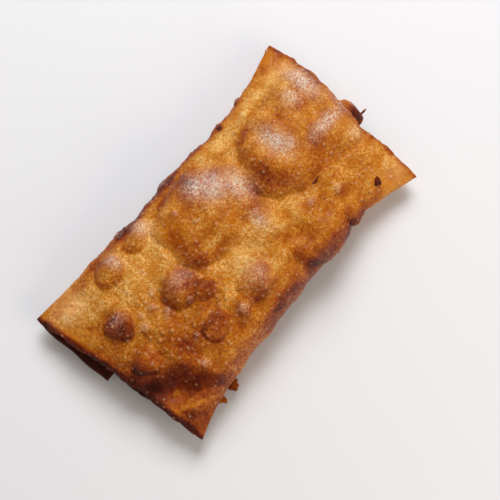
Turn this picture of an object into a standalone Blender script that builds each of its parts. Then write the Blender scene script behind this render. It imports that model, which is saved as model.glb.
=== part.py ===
"""Fried spring roll: a flat packet of blistered wheat dough, open at both ends.

The outer sheet of dough is a loft along X through sections that change from a plump
waist to flat ends with pointed ears. Blisters are relief on it. The folded dough that
shows inside both ends, a dark flap, a burnt lump and the shreds of vegetable are
modelled on their own and joined to it, because the food is one piece.
Sizes below are in millimetres. The long side with the fold faces +Y.
"""

import math
import random
from collections import namedtuple

import bmesh
import bpy
import numpy as np

MILLIMETRE = 0.001

# Driving sizes of the packet
HALF_LENGTH = 82.0
CROWN_HEIGHT = 27.0
LIP_TOP_HEIGHT = 16.0
LIP_UNDERSIDE_HEIGHT = 4.0
WAIST_EAR_HEIGHT = 12.0
END_EAR_HEIGHT = 9.5
SHEET_THICKNESS = 1.8
# The open end's pocket: its width as a share of the packet's, and its depth
POCKET_WIDTH = 0.794
POCKET_DEPTH = 10.0
FOLDS_DEPTH = 13.0
FOLDS_SETBACK = 4.6
FOLD_RIDGE = 1.6
LAYERS = 3
RESTING_HALF_LENGTH = 56.0
PLUMP_HALF_LENGTH = 46.0
# Powers of the curves that shape the crown, the raised ends and the sections
CROWN_FALL = 3.4
END_RISE = 1.6
FOLD_ROUNDNESS, FOLD_EDGE = 2.3, 0.52
BULGE_ROUNDNESS, BULGE_EDGE = 3.2, 0.43
EAR_ROUNDNESS, EAR_EDGE = 2.2, 0.9
BELLY_ROUNDNESS, BELLY_EDGE = 6.0, 0.5
# Middle of the whole piece's outline, which becomes the origin
MIDDLE_X = 2.23
MIDDLE_Y = -0.60

# Half widths along the packet, as (station along X, distance from the middle line)
FOLD_SIDE = ((-82, 46.6), (-65, 44.8), (-35, 43), (-16, 41.8), (2, 42.6), (40, 40.3), (60, 41.8), (82, 47.2))
BULGING_SIDE = ((-82, 48.4), (-72, 45.8), (-52, 42.2), (-10, 40.5), (14, 39.7), (55, 39.2), (65, 42), (82, 46.8))
# Cut edges of the outer sheet, as (place along Y, place along X)
LEFT_EDGE = ((-48, -78), (-30, -78.5), (-12, -79.8), (4, -80.2), (18, -81.4), (30, -82.6), (42, -83.6), (47, -84.4))
RIGHT_EDGE = ((-46, 80.5), (-30, 81.2), (-8, 80.8), (2, 81.6), (12, 83.5), (24, 85.2), (38, 85.4), (46.5, 84.6))

# Fineness of the solid
ROWS = 60
TOP_COLUMNS = 46
UNDER_COLUMNS = 22

# turn is the angle in degrees from X to the long side
Blister = namedtuple("Blister", "x y along across rise edge turn", defaults=(0,))
# Blisters that run into each other; a small edge value gives a steep rim
LARGE_BLISTERS = (
    Blister(2, 17, 27, 22, 6.4, 0.85),
    Blister(61, 10, 34, 27, 6.0, 0.95),
    Blister(41, 8.5, 18, 18.5, 5.8, 0.85),
    Blister(69, -3, 18, 14, 5.0, 1.4),
    Blister(71, 24, 15, 13, 6.4, 0.95),
    Blister(14, -6, 14, 11, 3.4, 1.5),
    Blister(-31, 2.5, 10.5, 10, 3.6, 0.95),
    Blister(-25.5, -6.5, 7.5, 6, 2.8, 1.1),
    Blister(-62, 12.5, 8, 7.5, 3.0, 0.95),
    Blister(-46.5, 33, 8, 7.5, 3.0, 0.95),
    Blister(-26.5, 33.5, 8.5, 6.5, 2.5, 1.0),
    Blister(-67, -7, 8, 7.5, 3.0, 0.95),
    Blister(-7.5, -22, 10.5, 9.5, 4.2, 0.9),
    Blister(-17, -24, 6.5, 5.5, 2.2, 1.2),
    Blister(-34, -21.5, 7.5, 7, 2.5, 0.95),
    Blister(29, -34, 15, 10.5, 4.8, 0.95),
    Blister(47.5, -37, 6.5, 7, 3.0, 1.0),
    Blister(-65, -36.5, 12, 4, 1.4, 1.4, -22),
    Blister(72, -26, 12, 4, 1.2, 1.5, 28),
)
# How sharply neighbouring blisters stay apart: high for a crease between them, low for a soft saddle
BLEND = 3.5
# Broad hollows: the slope down to the corner at -X and -Y, and beside the right dome
HOLLOWS = (
    Blister(-68, -24, 21, 11, 4.6, 1.3, -42),
    Blister(58, -27, 15, 7, 1.5, 1.4, 12),
)
RIM_WANDER = 1.3
RIM_WANDER_LENGTH = 17.0
EAR_REACH = 10.0
FLAP_EDGE_X = -85.9
FLAP_THICKNESS = 2.8
FLAP_LIFT = 0.5
CRUMPLE = 0.45
CRUMPLE_LENGTH = 15.0
# Free edge of the sheet under the packet, with the groove beside it
SEAM_Y = -21.0
SEAM_GROOVE = 2.0
SEAM_FADE = 7.0
PRESSED_FLAT = 0.9


def smoothstep(value):
    """Eased 0..1 ramp of a value that is 0 at the start and 1 at the end."""
    ramp = np.clip(value, 0.0, 1.0)
    return ramp * ramp * (3 - 2 * ramp)


def mixed(first, second, share):
    """The first value where share is 0 and the second where it is 1."""
    return first + (second - first) * share


def curve_through(points, where):
    """Smooth curve through a few (place, value) points, read at the given places."""
    places, values = np.array(points, float).T
    slopes = np.gradient(values, places)
    where = np.clip(np.asarray(where, float), places[0], places[-1])
    index = np.clip(np.searchsorted(places, where) - 1, 0, len(places) - 2)
    gap = places[index + 1] - places[index]
    t = (where - places[index]) / gap
    start = (1 + 2 * t) * (1 - t) ** 2 * values[index] + t * (1 - t) ** 2 * gap * slopes[index]
    end = t * t * (3 - 2 * t) * values[index + 1] + t * t * (t - 1) * gap * slopes[index + 1]
    return start + end


def ripple(points, length, seed, waves=14):
    """Smooth unevenness of about -1..1 with bumps of the given length."""
    draw = random.Random(seed)
    total = np.zeros(points.shape[:-1])
    for _ in range(waves):
        direction = np.array([draw.gauss(0, 1) for _ in range(3)])
        direction *= 2 * math.pi / (length * draw.uniform(0.8, 1.6)) / np.linalg.norm(direction)
        total += np.sin(points @ direction + draw.uniform(0, 2 * math.pi))
    return total / math.sqrt(waves)


def end_share(station):
    """0 along the plump part of the packet and 1 at its flat ends."""
    return smoothstep((np.abs(station) - PLUMP_HALF_LENGTH) / (HALF_LENGTH - PLUMP_HALF_LENGTH))


def crown(station):
    """Height of the top along the middle line."""
    return CROWN_HEIGHT - (CROWN_HEIGHT - LIP_TOP_HEIGHT) * (np.abs(station) / HALF_LENGTH) ** CROWN_FALL


def belly(station):
    """Height of the underside along the middle line: flat on the table, raised at the ends."""
    rise = np.clip((np.abs(station) - RESTING_HALF_LENGTH) / (HALF_LENGTH - RESTING_HALF_LENGTH), 0, 1)
    return LIP_UNDERSIDE_HEIGHT * rise**END_RISE


def ear_height(station):
    return mixed(WAIST_EAR_HEIGHT, END_EAR_HEIGHT, end_share(station))


def half_width(station, side):
    return curve_through(FOLD_SIDE if side > 0 else BULGING_SIDE, station)


def edge_place(end, y):
    """Place along X of the outer sheet's cut edge, at the end on the given side of the middle."""
    return curve_through(RIGHT_EDGE if end > 0 else LEFT_EDGE, y)


def section_height(station, share, top):
    """Height of the section where share runs from 1 at the +Y ear to -1 at the -Y ear."""
    flat = end_share(station)
    away = np.abs(share)
    fold = share > 0
    if top:
        roundness = np.where(fold, FOLD_ROUNDNESS, BULGE_ROUNDNESS)
        edge = np.where(fold, FOLD_EDGE, BULGE_EDGE)
        far = crown(station)
    else:
        roundness, edge, far = BELLY_ROUNDNESS, BELLY_EDGE, belly(station)
    shape = (1 - away ** mixed(roundness, EAR_ROUNDNESS, flat)) ** mixed(edge, EAR_EDGE, flat)
    return mixed(ear_height(station), far, shape)


def section(station, columns, top):
    """Evenly spaced (y, z) points of half a section, from one ear to the other."""
    turn = np.linspace(0, math.pi, 500) if top else np.linspace(math.pi, 0, 500)
    share = np.cos(turn)
    width = np.where(share > 0, half_width(station, 1), half_width(station, -1))
    y = share * width
    z = section_height(station, np.clip(share, -1, 1), top)
    travelled = np.concatenate([[0], np.cumsum(np.hypot(np.diff(y), np.diff(z)))])
    stops = np.linspace(0, travelled[-1], columns + 1)
    return np.stack([np.interp(stops, travelled, y), np.interp(stops, travelled, z)], axis=1)


def sheet_grid(rows, top_columns, under_columns):
    """Points of the outer sheet before its relief: rows along X by columns round the section."""
    stations = HALF_LENGTH * np.sin(np.linspace(-1, 1, rows) * 1.25) / math.sin(1.25)
    grid = np.empty((rows, top_columns + under_columns, 3))
    for row, station in enumerate(stations):
        over = section(station, top_columns, True)
        under = section(station, under_columns, False)
        ring = np.concatenate([over[:-1], under[:-1]])
        end = math.copysign(1, station)
        pull = (abs(station) / HALF_LENGTH) ** 5
        grid[row, :, 0] = station + (edge_place(end, ring[:, 0]) - end * HALF_LENGTH) * pull
        grid[row, :, 1:] = ring
    return grid


def outward(grid):
    """Unit directions out of the sheet at every point of the grid."""
    along = np.gradient(grid, axis=0)
    around = np.roll(grid, -1, axis=1) - np.roll(grid, 1, axis=1)
    normals = np.cross(around, along)
    return normals / np.linalg.norm(normals, axis=2, keepdims=True)


def base_height(x, y):
    """Height of the top of the sheet at one place, before its relief."""
    station = float(np.clip(x, -HALF_LENGTH, HALF_LENGTH))
    share = float(np.clip(y / half_width(station, y), -0.995, 0.995))
    return float(section_height(station, np.array(share), True))


def dome(points, blister):
    """Height of one blister above the sheet, from the distance to its middle."""
    away = points - (blister.x, blister.y, base_height(blister.x, blister.y))
    turn = math.radians(blister.turn)
    along = away[..., 0] * math.cos(turn) + away[..., 1] * math.sin(turn)
    across = away[..., 1] * math.cos(turn) - away[..., 0] * math.sin(turn)
    depth = min(blister.along, max(blister.across, 8)) * 1.2
    near = 1 - (along / blister.along) ** 2 - (across / blister.across) ** 2 - (away[..., 2] / depth) ** 2
    return blister.rise * np.clip(near, 0, 1) ** blister.edge


def ear_fade(points):
    """1 over the packet and 0 at the thin ears, where relief would push the sheet through itself."""
    station = np.clip(points[..., 0], -HALF_LENGTH, HALF_LENGTH)
    width = np.where(points[..., 1] > 0, half_width(station, 1), half_width(station, -1))
    near_side = 1 - smoothstep((width - np.abs(points[..., 1])) / EAR_REACH)
    return 1 - near_side * end_share(station)


def relief(points):
    """Distance by which the sheet stands out from its plain form."""
    wander = np.stack([ripple(points, RIM_WANDER_LENGTH, seed) for seed in (3, 4, 5)], axis=-1)
    warped = points + wander * RIM_WANDER
    height = sum(dome(warped, blister) ** BLEND for blister in LARGE_BLISTERS) ** (1 / BLEND)
    for hollow in HOLLOWS:
        height -= dome(points, hollow)
    return ear_fade(points) * (height + CRUMPLE * ripple(points, CRUMPLE_LENGTH, 8))


def underside_relief(points):
    """Underneath, the groove beside the sheet's free edge, and the sag that presses it flat."""
    under = smoothstep((WAIST_EAR_HEIGHT - 3 - points[..., 2]) / 4)
    past = points[..., 1] - SEAM_Y - 0.8 * np.sin(points[..., 0] / 13)
    groove = smoothstep(past / 1.5 + 1) * smoothstep(1 - past / SEAM_FADE)
    return under * (PRESSED_FLAT - SEAM_GROOVE * groove)


def raised_sheet(grid):
    """The sheet with its relief, cut flat where it lies on the table."""
    raised = grid + outward(grid) * (relief(grid) + underside_relief(grid))[..., None]
    raised[..., 2] = np.maximum(raised[..., 2], 0)
    return raised


def inner_ring(ring, top_columns):
    """The sheet's inner contour at an end: thinner by the sheet, and shut well inside the ears."""
    over = ring[: top_columns + 1]
    under = np.concatenate([ring[top_columns:], ring[:1]])[::-1]
    inner = ring.copy()
    inner[:, 1] *= POCKET_WIDTH
    top = np.interp(-inner[:, 1], -over[:, 1], over[:, 2])
    bottom = np.interp(-inner[:, 1], -under[:, 1], under[:, 2])
    half_gap = np.maximum((top - bottom) / 2 - SHEET_THICKNESS, 0.2)
    is_top = np.arange(len(ring)) < top_columns
    inner[:, 2] = (top + bottom) / 2 + np.where(is_top, half_gap, -half_gap)
    for tip in (0, top_columns):
        inner[tip, 2] = (top[tip] + bottom[tip]) / 2
    return inner


def end_rings(ring, end, top_columns):
    """Rings that round the cut edge and go back inside the packet, from outside to inside."""
    inner = inner_ring(ring, top_columns)
    lip = (ring + inner) / 2
    lip[:, 0] = ring[:, 0] + end * SHEET_THICKNESS * 0.3
    inside = end * np.minimum(end * edge_place(end, inner[:, 1]), end * ring[:, 0])
    inner[:, 0] = inside
    back = inner.copy()
    back[:, 0] = inside - end * POCKET_DEPTH
    return lip, inner, back


def mesh_object(name, points, faces):
    """Object with a closed mesh whose faces look outward, from points in millimetres."""
    mesh = bpy.data.meshes.new(name)
    origin = np.array((MIDDLE_X, MIDDLE_Y, 0))
    mesh.from_pydata(((np.asarray(points) - origin) * MILLIMETRE).tolist(), [], faces)
    shape = bmesh.new()
    shape.from_mesh(mesh)
    bmesh.ops.remove_doubles(shape, verts=shape.verts, dist=1e-6)
    bmesh.ops.recalc_face_normals(shape, faces=shape.faces)
    shape.to_mesh(mesh)
    shape.free()
    mesh.validate()
    return bpy.data.objects.new(name, mesh)


def ring_faces(count, rings):
    """Quads between neighbouring closed rings of points."""
    faces = []
    for ring in range(rings - 1):
        for at in range(count):
            beside = (at + 1) % count
            low, high = ring * count, (ring + 1) * count
            faces.append((low + at, low + beside, high + beside, high + at))
    return faces


def make_sheet():
    """The outer sheet as one closed body, with a shallow pocket in each end."""
    raised = raised_sheet(sheet_grid(ROWS, TOP_COLUMNS, UNDER_COLUMNS))
    left = end_rings(raised[0], -1, TOP_COLUMNS)
    right = end_rings(raised[-1], 1, TOP_COLUMNS)
    rings = [*left[::-1], *raised, *right]
    count = TOP_COLUMNS + UNDER_COLUMNS
    faces = ring_faces(count, len(rings))
    faces.append(tuple(range(count))[::-1])
    faces.append(tuple(range((len(rings) - 1) * count, len(rings) * count)))
    return mesh_object("outer_sheet", np.concatenate(rings), faces), raised


def grid_body(name, front, back):
    """Closed body between two grids of points of the same size."""
    rows, columns = front.shape[:2]
    points = np.concatenate([front.reshape(-1, 3), back.reshape(-1, 3)])
    faces = []
    for row in range(rows - 1):
        for column in range(columns - 1):
            at = row * columns + column
            face = (at, at + 1, at + columns + 1, at + columns)
            faces.append(face)
            faces.append(tuple(corner + rows * columns for corner in face[::-1]))
    rim = [(0, column) for column in range(columns)] + [(row, columns - 1) for row in range(1, rows)]
    rim += [(rows - 1, column) for column in range(columns - 2, -1, -1)]
    rim += [(row, 0) for row in range(rows - 2, 0, -1)]
    loop = [row * columns + column for row, column in rim]
    for here, following in zip(loop, loop[1:] + loop[:1]):
        faces.append((following, here, here + rows * columns, following + rows * columns))
    return mesh_object(name, points, faces)


def inner_folds(name, ring, end):
    """The folded layers of dough that fill an end, with their edges as wavy ridges."""
    inner = inner_ring(ring, TOP_COLUMNS)
    over = inner[: TOP_COLUMNS + 1]
    under = np.concatenate([inner[TOP_COLUMNS:], inner[:1]])[::-1]
    tips = over[0, 1] - 0.5, over[-1, 1] + 0.5
    y = np.linspace(tips[0], tips[1], 27)
    top = np.interp(-y, -over[:, 1], over[:, 2]) + 0.6
    bottom = np.interp(-y, -under[:, 1], under[:, 2]) - 0.6
    share = np.linspace(0, 1, 10)
    z = bottom[:, None] + (top - bottom)[:, None] * share[None, :]
    across = np.repeat(y[:, None], len(share), axis=1)
    wave = 0.8 * np.sin(across / 9.0 + end) + 0.5 * np.sin(across / 3.7)
    ridge = np.abs(np.cos(math.pi * LAYERS * share[None, :] + 0.35 * wave))
    setback = FOLDS_SETBACK - FOLD_RIDGE * ridge + 0.5 * wave
    edge = edge_place(end, across)
    front = np.stack([edge - end * setback, across, z], axis=-1)
    back = np.stack([edge - end * FOLDS_DEPTH, across, z], axis=-1)
    return grid_body(name, front, back)


def dark_flap(ring):
    """The lower layer of dough that sticks out under the outer sheet at the left end."""
    over = ring[: TOP_COLUMNS + 1]
    under = np.concatenate([ring[TOP_COLUMNS:], ring[:1]])[::-1]
    y = np.linspace(3.2, 44.6, 16)
    low = np.interp(-y, -under[:, 1], under[:, 2]) + FLAP_LIFT
    high = np.minimum(low + FLAP_THICKNESS, np.interp(-y, -over[:, 1], over[:, 2]) - FLAP_LIFT)
    low = np.minimum(low, high - 0.8)
    reach = FLAP_EDGE_X + 1.2 * smoothstep((y - 40) / 5) + 0.25 * np.sin(y / 3.1)
    profile = ((12, 0), (1.2, 0), (0.2, 0.25), (0, 0.5), (0.5, 0.85), (12, 1))
    rings = []
    for place, level, thickness, edge in zip(y, low, high - low, reach):
        rings.append([(edge + inward, place, level + up * thickness) for inward, up in profile])
    count = len(profile)
    faces = ring_faces(count, len(rings))
    faces.append(tuple(range(count))[::-1])
    faces.append(tuple(range((len(rings) - 1) * count, len(rings) * count)))
    return mesh_object("dark_flap", np.array(rings).reshape(-1, 3), faces)


def lump(name, middle, radii, subdivisions, roughness, seed, boxiness=1.0):
    """Uneven rounded lump; a boxiness below 1 makes it squarer."""
    shape = bmesh.new()
    bmesh.ops.create_icosphere(shape, subdivisions=subdivisions, radius=1)
    directions = np.array([vertex.co[:] for vertex in shape.verts])
    faces = [tuple(vertex.index for vertex in face.verts) for face in shape.faces]
    shape.free()
    size = 1 + roughness * ripple(directions, 1.1, seed)
    shaped = np.sign(directions) * np.abs(directions) ** boxiness
    return mesh_object(name, np.array(middle) + shaped * np.array(radii) * size[:, None], faces)


def shred(name, path, radius):
    """Thin strip of burnt vegetable along a path."""
    curve = bpy.data.curves.new(name + "_path", "CURVE")
    curve.dimensions = "3D"
    curve.bevel_depth = radius * MILLIMETRE
    curve.bevel_resolution = 1
    curve.use_fill_caps = True
    spline = curve.splines.new("POLY")
    spline.points.add(len(path) - 1)
    for point, (x, y, z) in zip(spline.points, path):
        place = np.array((x - MIDDLE_X, y - MIDDLE_Y, z)) * MILLIMETRE
        point.co = (*place, 1)
    wire = bpy.data.objects.new(name + "_wire", curve)
    bpy.context.scene.collection.objects.link(wire)
    bpy.context.view_layer.update()
    mesh = bpy.data.meshes.new_from_object(wire.evaluated_get(bpy.context.evaluated_depsgraph_get()))
    bpy.data.objects.remove(wire)
    bpy.data.curves.remove(curve)
    shape = bmesh.new()
    shape.from_mesh(mesh)
    bmesh.ops.remove_doubles(shape, verts=shape.verts, dist=1e-6)
    bmesh.ops.recalc_face_normals(shape, faces=shape.faces)
    shape.to_mesh(mesh)
    shape.free()
    return bpy.data.objects.new(name, mesh)


def top_at(x, y):
    """Height of the blistered top at one place."""
    place = np.array((x, y, base_height(x, y)))
    return place[2] + float(relief(place[None])[0])


def small_pieces():
    """The lump, shreds and crumbs that stick to the packet."""
    pieces = [
        lump("fold_lump", (80.2, -2.0, 10.6), (8.4, 7.6, 4.9), 3, 0.05, 21, 0.75),
        lump("burnt_corner", (83.8, -8.2, 9.6), (2.8, 2.3, 2.3), 2, 0.08, 22),
        shred("end_shred", ((80, -7.4, 10), (84, -8.1, 10.4), (87, -7.6, 10.3), (90.5, -8.0, 9.9)), 0.65),
        lump("burst_blister", (65.4, -33.9, top_at(65.4, -33.9)), (1.9, 2.5, 1.5), 2, 0.1, 23),
        lump("near_crumb", (-58, -42.4, 5.4), (2.8, 3.6, 1.9), 2, 0.1, 24),
        lump("far_crumb", (-49.5, -41.9, 5.2), (3.4, 4.0, 1.8), 2, 0.1, 25),
    ]
    flat_shred = [(x, -13 + 0.12 * (x - 46) ** 2, top_at(x, -13) + 0.1) for x in (43.8, 45.2, 46.8, 48.2)]
    pieces.append(shred("top_shred", flat_shred, 0.6))
    return pieces


def fried_dough():
    """Browned, slightly oily crust."""
    material = bpy.data.materials.new("fried_dough")
    material.use_nodes = True
    shader = material.node_tree.nodes["Principled BSDF"]
    shader.inputs["Base Color"].default_value = (0.46, 0.19, 0.045, 1)
    shader.inputs["Roughness"].default_value = 0.45
    shader.inputs["Metallic"].default_value = 0.0
    return material


def join_into(base, pieces):
    """One solid from the base and everything that touches it."""
    helpers = bpy.data.collections.new("joined_pieces")
    bpy.context.scene.collection.children.link(helpers)
    for piece in pieces:
        helpers.objects.link(piece)
    union = base.modifiers.new("join", "BOOLEAN")
    union.operation = "UNION"
    union.operand_type = "COLLECTION"
    union.collection = helpers
    union.solver = "MANIFOLD"
    bpy.context.view_layer.update()
    joined = bpy.data.meshes.new_from_object(base.evaluated_get(bpy.context.evaluated_depsgraph_get()))
    base.modifiers.clear()
    base.data = joined
    for piece in pieces:
        bpy.data.objects.remove(piece)
    bpy.data.collections.remove(helpers)


def clear_scene():
    for obj in list(bpy.data.objects):
        bpy.data.objects.remove(obj)


def main():
    clear_scene()
    collection = bpy.data.collections.new("spring_roll")
    bpy.context.scene.collection.children.link(collection)
    roll, raised = make_sheet()
    roll.name = "spring_roll"
    collection.objects.link(roll)
    pieces = [
        inner_folds("left_folds", raised[0], -1),
        inner_folds("right_folds", raised[-1], 1),
        dark_flap(raised[0]),
        *small_pieces(),
    ]
    join_into(roll, pieces)
    roll.data.materials.clear()
    roll.data.materials.append(fried_dough())


main()
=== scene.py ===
"""Looks of a large flat fried spring roll, laid out as an add-on and run as a script.

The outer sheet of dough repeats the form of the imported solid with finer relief: large
blisters, small ones, pimples from a Geometry Nodes tree and a grain in the material.
Lengths inside the functions are in millimetres; the properties hold metres.
"""

import math
import random
from collections import namedtuple

import bmesh
import bpy
import numpy as np
from mathutils import Matrix, Vector


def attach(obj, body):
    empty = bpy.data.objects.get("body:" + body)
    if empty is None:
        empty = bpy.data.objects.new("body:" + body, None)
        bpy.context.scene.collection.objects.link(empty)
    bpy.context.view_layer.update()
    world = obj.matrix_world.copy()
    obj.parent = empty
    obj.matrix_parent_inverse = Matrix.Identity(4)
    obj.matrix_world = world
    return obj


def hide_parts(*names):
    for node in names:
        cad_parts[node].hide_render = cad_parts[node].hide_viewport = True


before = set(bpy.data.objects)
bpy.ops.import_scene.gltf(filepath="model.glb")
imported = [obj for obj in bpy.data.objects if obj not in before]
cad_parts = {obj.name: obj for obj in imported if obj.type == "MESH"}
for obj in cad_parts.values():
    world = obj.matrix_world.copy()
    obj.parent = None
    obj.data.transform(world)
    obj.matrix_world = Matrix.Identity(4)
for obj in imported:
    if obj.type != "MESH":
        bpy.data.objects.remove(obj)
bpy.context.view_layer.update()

bl_info = {
    "name": "Fried spring roll",
    "version": (1, 0, 0),
    "blender": (4, 5, 0),
    "location": "3D View > Sidebar > Spring roll",
    "description": "Builds a blistered fried packet of dough with its folds, shreds and crumbs",
    "category": "Mesh",
}


def rows_of(kind, *rows):
    """Named tuples of one kind, from rows of numbers."""
    return tuple(kind(*row) for row in rows)


NODE = "spring_roll"
MILLIMETRE = 0.001

# Middle of the whole piece's outline, which is the frame's origin
MIDDLE_X = 2.23
MIDDLE_Y = -0.60

PLUMP_HALF_LENGTH = 46.0
# Powers of the curves that shape the crown, the raised ends and the sections
CROWN_FALL = 3.4
END_RISE = 1.6
FOLD_ROUNDNESS, FOLD_EDGE = 2.3, 0.52
BULGE_ROUNDNESS, BULGE_EDGE = 3.2, 0.43
EAR_ROUNDNESS, EAR_EDGE = 2.2, 0.9
BELLY_ROUNDNESS, BELLY_EDGE = 6.0, 0.5
# The open end's pocket: its width as a share of the packet's, and its depth
POCKET_WIDTH = 0.794
POCKET_DEPTH = 10.0

# Folds inside the ends: how far they stand back from the cut edge, with a ridge for each layer
FOLDS_DEPTH = 13.0
FOLDS_SETBACK = 4.6
FOLD_RIDGE = 1.6
LAYERS = 3
FOLD_MARGIN = 0.5
FOLD_OVERLAP = 0.6
FOLD_COLUMNS, FOLD_ROWS = 150, 44
FOLD_WAVE, FOLD_WAVE_LENGTH = 0.8, 9.0
FOLD_RIPPLE, FOLD_RIPPLE_LENGTH = 0.5, 3.7
LAYER_SWAY, EDGE_SWAY = 0.35, 0.5
FOLD_ROUGHNESS, FOLD_ROUGH_LENGTH = 0.2, 3.0

# Half widths along the packet, as (station along X, distance from the middle line)
FOLD_SIDE = (
    (-82, 46.6), (-65, 44.8), (-35, 43), (-16, 41.8), (2, 42.6), (40, 40.3), (60, 41.8), (82, 47.2),
)
BULGING_SIDE = (
    (-82, 48.4), (-72, 45.8), (-52, 42.2), (-10, 40.5), (14, 39.7), (55, 39.2), (65, 42), (82, 46.8),
)
# Cut edges of the outer sheet, as (place along Y, place along X)
LEFT_EDGE = (
    (-48, -78), (-30, -78.5), (-12, -79.8), (4, -80.2), (18, -81.4), (30, -82.6), (42, -83.6), (47, -84.4),
)
RIGHT_EDGE = (
    (-46, 80.5), (-30, 81.2), (-8, 80.8), (2, 81.6), (12, 83.5), (24, 85.2), (38, 85.4), (46.5, 84.6),
)
RAGGED_EDGE = 0.35
RAGGED_LENGTH = 4.5
# How strongly the cut edge's shape keeps to the ends of the packet
EDGE_PULL = 5
# How far a cut edge is rounded, as a share of the sheet's thickness
LIP_ROUNDING = 0.35
LEAST_HALF_GAP = 0.2

# Share of the half width up to which heights are read, just short of the ears
NEAR_EAR = 0.995

# Fineness of the outer sheet, and of the copies of its ends that the folds and the flap follow
ROWS = 320
TOP_COLUMNS = 226
UNDER_COLUMNS = 44
SECTION_STEPS = 900
END_ROWS = 41

# brown is how much darker than its surroundings a blister is fried; turn is its angle from X
Blister = namedtuple("Blister", "x y along across rise edge brown turn", defaults=(0, 0))
LARGE_BLISTERS = rows_of(
    Blister,
    (2, 17, 27, 22, 6.4, 0.85, 0.08), (61, 10, 34, 27, 6, 0.95, 0.03),
    (41, 8.5, 18, 18.5, 5.8, 0.85), (69, -3, 18, 14, 5, 1.4), (71, 24, 15, 13, 6.4, 0.95),
    (14, -6, 14, 11, 3.4, 1.5), (-31, 2.5, 10.5, 10, 3.6, 0.95, 0.17),
    (-25.5, -6.5, 7.5, 6, 2.8, 1.1, 0.16), (-62, 12.5, 8, 7.5, 3, 0.95, 0.19),
    (-46.5, 33, 8, 7.5, 3, 0.95, 0.16), (-26.5, 33.5, 8.5, 6.5, 2.5, 1, 0.14),
    (-67, -7, 8, 7.5, 3, 0.95, 0.07), (-7.5, -22, 10.5, 9.5, 4.2, 0.9, 0.17),
    (-17, -24, 6.5, 5.5, 2.2, 1.2, 0.08), (-34, -21.5, 7.5, 7, 2.5, 0.95, 0.1),
    (29, -34, 15, 10.5, 4.8, 0.95, 0.08), (47.5, -37, 6.5, 7, 3, 1, 0.08),
    (-65, -36.5, 12, 4, 1.4, 1.4, -0.1, -22), (72, -26, 12, 4, 1.2, 1.5, -0.04, 28),
)
SMALL_BLISTERS = rows_of(
    Blister,
    (-56, 3, 2.8, 2.6, 1, 0.9, 0.12), (-47, 7, 2.4, 2.2, 0.9, 0.9, 0.05),
    (-44, 0, 2.5, 2.3, 0.9, 0.9, 0.05), (-53, 8, 2, 1.9, 0.7, 0.9), (-42, 11, 2.2, 2, 0.7, 0.9),
    (-51, -28, 2.6, 2.4, 1, 0.9, 0.05), (-21, -26, 3.4, 3.1, 1.5, 0.8, 0.1),
    (-33, -4, 1.7, 1.6, 0.9, 0.8), (-43.5, -17, 1.6, 1.5, 0.8, 0.9), (37, -18, 2.4, 2.2, 0.8, 0.9),
    (50, -23, 2.8, 2, 0.8, 0.9), (17, -2, 2.6, 2.4, 1, 0.8), (53.5, 41.4, 2.6, 2.2, 1.6, 0.8, 0.08),
    (0, 42, 4.2, 2.6, 0.8, 0.9), (-31, 42, 3, 2.2, 0.8, 0.9), (-8, 26, 1.6, 1.5, 0.8, 0.9),
    (-4.5, 16, 1.5, 1.5, 0.8, 0.9), (75, -13, 5, 4, 0.7, 1.2, 0.06),
)
# How sharply neighbouring blisters stay apart: high for a crease between them, low for a soft saddle
BLEND = 3.5
# How far down a blister reaches, as a share of its smaller reach, which counts as at least this
REACH_DOWN, LEAST_REACH = 1.2, 8
# Broad hollows: the slope down to the corner at -X and -Y, and beside the right dome
HOLLOWS = (
    Blister(-68, -24, 21, 11, 4.6, 1.3, turn=-42),
    Blister(58, -27, 15, 7, 1.5, 1.4, turn=12),
)
RIM_WANDER = 1.3
RIM_WANDER_LENGTH = 17.0
CRUMPLE_LENGTH = 15.0
# Blisters with a steep edge have a crease round them
CREASED_EDGE = 0.9
CREASE_DEPTH, CREASE_WIDTH = 0.08, 0.12
# Small uneven bumps all over, with painted light on their tops and painted shade between them, and finer
# crinkles
HAMMERED = 0.18
HAMMERED_LENGTH = 6.5
HAMMERED_PAINTED_SHADING = 0.04
HAMMERED_SEED = 11
CRINKLE, CRINKLE_LENGTH = 0.12, 2.8
# Relief fades towards the ears
EAR_REACH = 10.0
RELIEF_AT_EARS = 0.3
# Free edge of the sheet under the packet, with the groove beside it
SEAM_Y = -21.0
SEAM_WAVER, SEAM_WAVE_LENGTH = 0.8, 13
SEAM_STEP = 1.5
SEAM_GROOVE = 2.0
SEAM_FADE = 7.0
# The sheet is pressed flat underneath, which starts this far below its widest line
UNDER_FROM, UNDER_FADE = 3, 4
PRESSED_FLAT = 0.9

# Dark flap at the left end: its cut edge, which is rounded and turns in at the corner
FLAP_SPAN = (3.2, 44.6)
FLAP_COLUMNS = 120
FLAP_EDGE_X = -85.9
FLAP_CORNER, FLAP_CORNER_Y, FLAP_CORNER_REACH = 1.2, 40, 5
FLAP_WAVER, FLAP_WAVE_LENGTH = 0.25, 3.1
FLAP_THICKNESS, FLAP_THINNEST = 2.8, 0.8
FLAP_LIFT = 0.5
FLAP_ROUNDING = 0.9
FLAP_KINK, FLAP_DEPTH = 4, 12

# Lump at the right end: amber from here, and burnt further towards -Y
LUMP_AMBER_Y, LUMP_FADE = 2.0, 9
LUMP_AMBER, LUMP_BURNT = 0.58, 0.98
# Unevenness of lumps and crumbs, for a lump of radius 1
LUMP_WAVE = 1.1
LUMP_GRAIN, LUMP_GRAIN_LENGTH = 0.02, 0.35

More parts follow.
